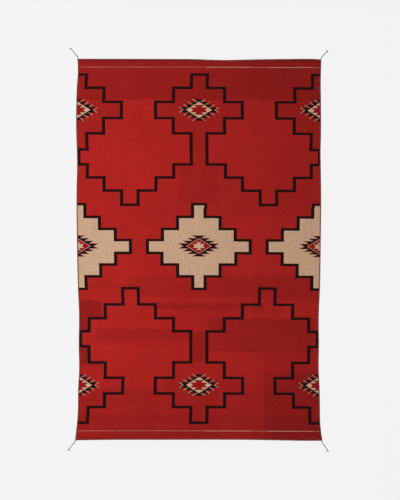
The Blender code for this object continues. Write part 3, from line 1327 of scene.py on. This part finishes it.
@dataclass
class WovenCloth:
    """The cloth: one sheet with a rib over each warp, on both faces."""

    outline: RugOutline
    finish: WeaveFinish = field(default_factory=WeaveFinish)
    thickness: float = 3.0 * MM
    rib_depth: float = 0.45 * MM
    edge_rounding: float = 1.2 * MM
    edge_steps: tuple[float, ...] = (0.35 * MM, 0.9 * MM)
    edge_fullness: float = 0.02
    waviness: float = 0.18 * MM
    rows: int = 54

    def shares(self, count: int, size: float) -> np.ndarray:
        """Place grid lines evenly, with more of them near both edges.

        Args:
            count: Even steps from edge to edge.
            size: Full size from edge to edge.

        Returns:
            Shares from -1 to 1.
        """
        near = np.array([2 * step / size for step in self.edge_steps])
        return np.sort(np.concatenate((np.linspace(-1, 1, count + 1), near - 1, 1 - near)))

    def build(self) -> bpy.types.Object:
        """Weave the cloth.

        Returns:
            The cloth piece.
        """
        width = 2 * self.finish.half_width
        length = 2 * (self.outline.half_length - self.outline.inset)
        warps = round(width / self.finish.warp_pitch)
        columns = self.shares(2 * warps, width)
        rows = self.shares(self.rows, length)
        across_share, along_share = np.meshgrid(columns, rows)
        across, along = self.outline.cloth_place(across_share, along_share)

        rib = np.abs(np.cos(np.pi * warps * (columns + 1) / 2))
        valley = self.rib_depth * np.broadcast_to(rib, across.shape)
        from_side = (1 - np.abs(across_share)) * width / 2
        from_end = (1 - np.abs(along_share)) * length / 2
        from_edge = np.minimum(from_side, from_end)
        inward = np.clip(1 - from_edge / self.edge_rounding, 0, 1)
        fullness = np.sqrt(np.clip(1 - inward**2, self.edge_fullness, 1))
        half = (self.thickness / 2 - valley) * fullness
        middle = self.thickness / 2
        wave = np.sin(9.0 * across + 3.0 * np.sin(4.1 * along)) * np.sin(7.3 * along + 1.3)
        top = np.stack((across, along, middle + half + self.waviness * wave * fullness), axis=-1)
        under = np.stack((across, along, middle - half), axis=-1)

        height, breadth = across.shape
        index = np.arange(height * breadth).reshape(height, breadth)
        faces = np.stack((index[:-1, :-1], index[:-1, 1:], index[1:, 1:], index[1:, :-1]), axis=-1)
        faces = faces.reshape(-1, 4)
        rim = np.concatenate((index[0, :-1], index[:-1, -1], index[-1, :0:-1], index[:0:-1, 0]))
        onward = np.roll(rim, -1)
        count = index.size
        walls = np.stack((rim, rim + count, onward + count, onward), axis=-1)
        everything = np.concatenate((faces, faces[:, ::-1] + count, walls))
        points = np.concatenate((top.reshape(-1, 3), under.reshape(-1, 3)))

        mesh = bpy.data.meshes.new("woven_cloth")
        mesh.from_pydata(points.tolist(), [], everything.tolist())
        mesh.shade_smooth()
        warp_plan = np.tile((across_share * self.finish.half_width).ravel(), 2)
        pick_plan = np.tile(along.ravel(), 2)
        corners = everything.ravel()
        plan = mesh.uv_layers.new(name=WEAVE_MAP)
        plan.data.foreach_set("uv", np.column_stack((warp_plan[corners], pick_plan[corners])).ravel())
        mesh.materials.append(self.finish.build())
        cloth = new_object("woven_cloth", mesh)
        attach(cloth, "root")
        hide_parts("rug_cloth")
        return cloth


@dataclass
class EdgeCords:
    """The selvage cords: three plies twisted together along each edge, with the yarn's turns round them."""

    outline: RugOutline
    cord_tree: CordTree
    loop_tree: LoopTree
    finish: CordFinish = CordFinish(
        "edge_cord", (srgb(136, 14, 20), srgb(112, 11, 17), srgb(96, 10, 16), srgb(150, 20, 24)))
    twist: Twist = Twist(
        plies=3, ply_lay=0.93 * MM, pitch=15 * MM, strand_radius=1.17 * MM, step=1.4 * MM, sides=7)
    path_steps: int = 150
    loop_pitch: float = 3.28 * MM
    loop_yarn: float = 0.42 * MM
    loop_flatness: float = 2.9
    loop_points: int = 12
    loop_sides: int = 6
    loop_lean: float = 0.22
    toward_cloth: float = 1.55
    low_at_cloth: float = 0.45

    def build(self) -> list[bpy.types.Object]:
        """Twist the four cords.

        Returns:
            The cord pieces.
        """
        material = self.finish.build()
        steps = self.path_steps
        lines = [(f"side_cord_{side.name.lower()}", self.outline.side_cord_line(side, steps), side.value)
                 for side in Side]
        lines += [(f"end_cord_{end.name.lower()}", self.outline.end_cord_line(end, steps), -end.value)
                  for end in End]
        pieces = []
        for node, line, turn in lines:
            mesh = self.cord_tree.twist([with_thickness(line)], material, self.twist)
            cord = new_object(f"twisted_{node}", mesh)
            loops = new_object(f"turns_{node}", self.loops(line, turn, material))
            join(cord, loops)
            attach(cord, "root")
            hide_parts(node)
            pieces.append(cord)
        return pieces

    def loops(self, line: np.ndarray, turn: int, material: bpy.types.Material) -> bpy.types.Mesh:
        """Turn the cloth's yarn round a cord.

        Args:
            line: The cord's middle line.
            turn: Which way is out from the cloth: 1 for the line's right hand, -1 for its left.
            material: The loops' finish.

        Returns:
            The loops' mesh.
        """
        reach = self.outline.edge_cord / 2 - self.loop_yarn
        angles = np.linspace(0, 2 * math.pi, self.loop_points, endpoint=False)
        inward = np.minimum(np.cos(angles), 0.0)
        out = reach * (np.cos(angles) + (self.toward_cloth - 1.0) * inward)
        up = reach * np.sin(angles) * (1 - self.low_at_cloth * inward**2)
        ring = np.column_stack((turn * out, np.zeros_like(out), up))
        headings = np.roll(ring, -1, axis=0) - np.roll(ring, 1, axis=0)
        along = np.array([0.0, self.loop_flatness, 0.0])
        points = []
        sides = self.loop_sides
        for spot, heading in zip(ring, headings):
            heading = heading / np.linalg.norm(heading)
            across = np.array([-heading[2], 0.0, heading[0]])
            for index in range(sides):
                angle = 2 * math.pi * index / sides
                points.append(spot + self.loop_yarn * (math.cos(angle) * across + math.sin(angle) * along))
        rings = [[ring_index * sides + index for index in range(sides)] for ring_index in range(len(ring))]
        faces = [
            (this[i], this[(i + 1) % sides], after[(i + 1) % sides], after[i])
            for this, after in zip(rings, rings[1:] + rings[:1]) for i in range(sides)
        ]
        mesh = bpy.data.meshes.new("yarn_turn")
        mesh.from_pydata([tuple(point) for point in points], [], faces)
        loop = new_object("yarn_turn", mesh)
        loops = self.loop_tree.run(
            [with_thickness(line)], loop=loop, pitch=self.loop_pitch, uneven=self.loop_lean,
            mark=float(self.twist.plies), finish=material)
        bpy.data.objects.remove(loop)
        return loops


@dataclass(frozen=True)
class Bend:
    """A place on a tie's route, with the cord's thickness there as a share of its own."""

    across: float
    along: float
    thick: float


@dataclass(frozen=True)
class KnotLie:
    """How a knot lies: its turn from its tie's line, and its two cut tails' lengths and turns, in degrees."""

    turn: float
    long_tail: float
    long_turn: float
    short_tail: float
    short_turn: float


@dataclass
class CornerTies:
    """The four corner ties: free ends of the side cords, twisted, each with a knot and two frayed tails."""

    outline: RugOutline
    cord_tree: CordTree
    finish: CordFinish = CordFinish(
        "tie_cord", (srgb(62, 20, 28), srgb(138, 108, 94), srgb(104, 26, 30), srgb(92, 62, 56)), 0.3)
    twist: Twist = Twist(
        plies=2, ply_lay=0.88 * MM, pitch=13.2 * MM, strand_radius=0.82 * MM, step=0.55 * MM, sides=8,
        strands=2, strand_lay=0.4 * MM, strand_pitch=6.1 * MM)
    yarn: Twist = Twist(
        plies=2, ply_lay=0.62 * MM, pitch=5.5 * MM, strand_radius=0.7 * MM, step=0.45 * MM, sides=8)
    fray: Twist = Twist(
        plies=2, ply_lay=0.12 * MM, pitch=3.5 * MM, strand_radius=0.16 * MM, step=0.6 * MM, sides=5)
    fray_yarns: int = 12
    fray_from: float = 0.35
    fray_spread: float = 0.42
    fray_bow: float = 0.3
    fray_shortest: float = 0.7
    fray_heights: tuple[float, float] = (0.25 * MM, 1.4 * MM)
    fray_thinning: float = 0.55
    stub_share: float = 0.62
    stub_height: float = 0.82
    diameter: float = 4.2 * MM
    step: float = 0.8 * MM
    lead_in: float = 2.5 * MM
    knot_length: float = 9.5 * MM
    knot_width: float = 7.8 * MM
    knot_height: float = 6.2 * MM
    routes: dict[tuple[Side, End], tuple[Bend, ...]] = field(default_factory=lambda: {
        (Side.LEFT, End.TOP): (
            Bend(-0.6062, 0.9670, 1.30),
            Bend(-0.6137, 0.9735, 0.95),
            Bend(-0.6207, 0.9830, 1.00),
            Bend(-0.6292, 0.9940, 1.00),
            Bend(-0.6362, 1.0008, 1.00),
        ),
        (Side.RIGHT, End.TOP): (
            Bend(0.6137, 0.9600, 1.00),
            Bend(0.6182, 0.9665, 1.00),
            Bend(0.6232, 0.9722, 1.10),
            Bend(0.6307, 0.9800, 1.00),
            Bend(0.6392, 0.9890, 1.00),
        ),
        (Side.LEFT, End.BOTTOM): (
            Bend(-0.6195, -0.9600, 1.00),
            Bend(-0.6237, -0.9655, 1.05),
            Bend(-0.6297, -0.9725, 1.00),
            Bend(-0.6367, -0.9815, 1.00),
            Bend(-0.6467, -0.9945, 1.00),
        ),
        (Side.RIGHT, End.BOTTOM): (
            Bend(0.6170, -0.9625, 1.00),
            Bend(0.6217, -0.9705, 1.00),
            Bend(0.6282, -0.9785, 1.10),
            Bend(0.6345, -0.9875, 1.00),
            Bend(0.6420, -0.9990, 1.00),
        ),
    })
    knots: dict[tuple[Side, End], KnotLie] = field(default_factory=lambda: {
        (Side.LEFT, End.TOP): KnotLie(20, 8.5 * MM, 35, 6.0 * MM, -30),
        (Side.RIGHT, End.TOP): KnotLie(-75, 11.0 * MM, 78, 8.5 * MM, -88),
        (Side.LEFT, End.BOTTOM): KnotLie(10, 7.0 * MM, -15, 12.5 * MM, 78),
        (Side.RIGHT, End.BOTTOM): KnotLie(-5, 10.0 * MM, -6, 8.5 * MM, -62),
    })

    def route(self, side: Side, end: End) -> np.ndarray:
        """Work out a tie's route.

        Args:
            side: The corner's side.
            end: The corner's end.

        Returns:
            Evenly spaced rows of x, y, z and thickness share.
        """
        line = self.outline.side_cord_line(side, 36)
        tip, before = (line[-1], line[-2]) if end is End.TOP else (line[0], line[1])
        onward = (tip - before) / np.linalg.norm(tip - before)
        rows = [(*(tip + onward * distance)[:2], 1.0) for distance in (GAP, GAP + self.lead_in)]
        rows += [(bend.across, bend.along, bend.thick) for bend in self.routes[side, end]]
        rows = np.array(rows)
        spans = np.hypot(*np.diff(rows[:, :2], axis=0).T)
        distances = np.concatenate(([0.0], np.cumsum(spans)))
        at = np.linspace(0, distances[-1], round(distances[-1] / self.step) + 1)
        across, along, thick = (smooth_values(distances, rows[:, column], at) for column in range(3))
        height = self.diameter / 2 * np.maximum(thick, 1.0)
        return np.column_stack((across, along, height, thick))

    def build(self) -> list[bpy.types.Object]:
        """Twist the ties and tie their knots.

        Returns:
            The ties and the knots.
        """
        material = self.finish.build()
        pieces = []
        for side, end in self.routes:
            corner = f"{end.name.lower()}_{side.name.lower()}"
            route = self.route(side, end)
            tie = new_object(f"twisted_tie_{corner}", self.cord_tree.twist([route], material, self.twist))
            knot = new_object(f"tied_knot_{corner}", self.knot_mesh(route, self.knots[side, end], material))
            for piece, node in ((tie, f"tie_{corner}"), (knot, f"knot_{corner}")):
                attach(piece, "root")
                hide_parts(node)
                pieces.append(piece)
        return pieces

    def knot_mesh(self, route: np.ndarray, lie: KnotLie, material: bpy.types.Material) -> bpy.types.Mesh:
        """Tie an overhand knot at a route's end, with two frayed tails.

        Args:
            route: The tie's route.
            lie: How the knot lies.
            material: The knot's finish.

        Returns:
            The knot's mesh.
        """
        tip, before = route[-1, :2], route[-3, :2]
        heading = math.degrees(math.atan2(*(tip - before)[::-1]))
        turn = math.radians(lie.turn)
        reach = math.hypot(self.knot_length * math.cos(turn), self.knot_width * math.sin(turn)) / 2
        ahead = np.array([math.cos(math.radians(heading)), math.sin(math.radians(heading))])
        middle = np.array([*(tip + ahead * (reach + GAP)), self.knot_height / 2])

        thread = self.yarn.reach
        angle = math.radians(heading + lie.turn)
        spin = np.array([[math.cos(angle), -math.sin(angle)], [math.sin(angle), math.cos(angle)]])
        turns = np.linspace(0, 2 * math.pi, 73)
        loop = np.column_stack((
            (np.sin(turns) + 2 * np.sin(2 * turns)) / 3.0,
            (np.cos(turns) - 2 * np.cos(2 * turns)) / 3.0,
            -np.sin(3 * turns),
        ))
        loop *= np.array([self.knot_length, self.knot_width, self.knot_height]) / 2 - thread
        loop[:, :2] = loop[:, :2] @ spin.T
        entry = np.linspace(np.array([*(tip + ahead * GAP), route[-1, 2]]), middle, 8)
        lines = [with_thickness(loop + middle), with_thickness(entry, np.linspace(1.35, 0.9, 8))]
        random = np.random.default_rng(round(abs(lie.long_turn * 10)) + 3)
        fray = []
        for length, degrees in ((lie.long_tail, lie.long_turn), (lie.short_tail, lie.short_turn)):
            way = math.radians(heading + degrees)
            toward = np.array([math.cos(way), math.sin(way)])
            stub = np.linspace(0, self.stub_share * length, 7)
            low = thread * self.stub_height
            height = low + (middle[2] - thread) * (1 - stub / stub[-1]) ** 2
            place = np.column_stack((middle[:2] + np.outer(stub, toward), height))
            lines.append(with_thickness(place, np.linspace(0.9, 0.6, 7)))
            fray += [self.fray_line(middle[:2], toward, length, random) for _ in range(self.fray_yarns)]
        knot = new_object("knot", self.cord_tree.twist(lines, material, self.yarn))
        tuft = new_object("tuft", self.cord_tree.twist(fray, material, self.fray))
        join(knot, tuft)
        mesh = knot.data
        bpy.data.objects.remove(knot)
        return mesh

    def fray_line(self, middle: np.ndarray, toward: np.ndarray, length: float,
                  random: np.random.Generator) -> np.ndarray:
        """Lay one loose fibre of a tail.

        Args:
            middle: The knot's middle, seen from above.
            toward: The tail's direction, seen from above.
            length: The tail's length.
            random: The source of the fibre's own shape.

        Returns:
            Rows of x, y, z and thickness share.
        """
        share = np.linspace(0, 1, 9)
        spread = random.uniform(-self.fray_spread, self.fray_spread)
        bow = random.uniform(-self.fray_bow, self.fray_bow)
        reach = (1 - self.fray_from) * length * random.uniform(self.fray_shortest, 1.0)
        rise = random.uniform(*self.fray_heights)
        sideways = np.array([-toward[1], toward[0]])
        ahead = np.outer(self.fray_from * length + share * reach, toward)
        aside = np.outer(reach * (spread * share**1.5 + bow * share * (1 - share)), sideways)
        height = rise + self.yarn.reach * 0.4 * (1 - share)
        place = np.column_stack((middle + ahead + aside, height))
        return with_thickness(place, 1.0 - self.fray_thinning * share)


@dataclass
class Studio:
    """A plain pale floor, soft light and a camera straight above the rug."""

    frame_height: float = 2.5
    lens: float = 85.0
    sensor: float = 36.0
    camera_across: float = 6.25 * MM
    camera_along: float = -1.0 * MM
    floor_size: float = 24.0
    floor_tone: float = 0.06
    floor_glow: float = 0.85
    world_strength: float = 0.49
    key_power: float = 37.5
    key_size: float = 1.1
    key_place: tuple[float, float, float] = (-1.3, 0.1, 2.6)

    def build(self) -> None:
        """Set the floor, the lights and the camera."""
        self.floor()
        self.lights()
        self.camera()

    def floor(self) -> None:
        """Lay the floor."""
        half = self.floor_size / 2
        mesh = bpy.data.meshes.new("floor")
        corners = [(-half, -half, 0), (half, -half, 0), (half, half, 0), (-half, half, 0)]
        mesh.from_pydata(corners, [], [(0, 1, 2, 3)])
        material = bpy.data.materials.new("floor")
        material.use_nodes = True
        shader = material.node_tree.nodes["Principled BSDF"]
        shader.inputs["Base Color"].default_value = (*[self.floor_tone] * 3, 1.0)
        shader.inputs["Emission Color"].default_value = (1.0, 1.0, 1.0, 1.0)
        shader.inputs["Emission Strength"].default_value = self.floor_glow
        shader.inputs["Roughness"].default_value = 1.0
        shader.inputs["Specular IOR Level"].default_value = 0.0
        mesh.materials.append(material)
        new_object("floor", mesh)

    def lights(self) -> None:
        """Hang one large soft lamp and light the room evenly."""
        world = bpy.data.worlds.new("soft_room")
        world.use_nodes = True
        background = world.node_tree.nodes["Background"]
        background.inputs["Color"].default_value = (1.0, 1.0, 1.0, 1.0)
        background.inputs["Strength"].default_value = self.world_strength
        bpy.context.scene.world = world
        lamp = bpy.data.lights.new("key", "AREA")
        lamp.shape = "DISK"
        lamp.size = self.key_size
        lamp.energy = self.key_power
        key = bpy.data.objects.new("key", lamp)
        key.location = self.key_place
        bpy.context.scene.collection.objects.link(key)

    def camera(self) -> None:
        """Stand the camera straight above the rug, as in the photograph."""
        data = bpy.data.cameras.new("camera")
        data.lens = self.lens
        data.sensor_width = self.sensor
        data.clip_end = 100.0
        camera = bpy.data.objects.new("camera", data)
        distance = self.frame_height * self.lens / self.sensor
        camera.location = (self.camera_across, self.camera_along, distance)
        bpy.context.scene.collection.objects.link(camera)
        bpy.context.scene.camera = camera
        bpy.context.scene.view_settings.view_transform = "Standard"


def main() -> None:
    """Build the rug's pieces in order and report each one."""
    logging.basicConfig(level=logging.INFO, format="%(name)s: %(message)s")
    outline = RugOutline()
    Studio().build()
    cord_tree = CordTree()
    ties = CornerTies(outline, cord_tree).build()
    cloth_maker = WovenCloth(outline)
    cloth = cloth_maker.build()
    cords = EdgeCords(outline, cord_tree, LoopTree()).build()
    for piece in (*ties, cloth, *cords):
        log.info("%s: %d faces", piece.name, len(piece.data.polygons))


if __name__ == "__main__":
    main()
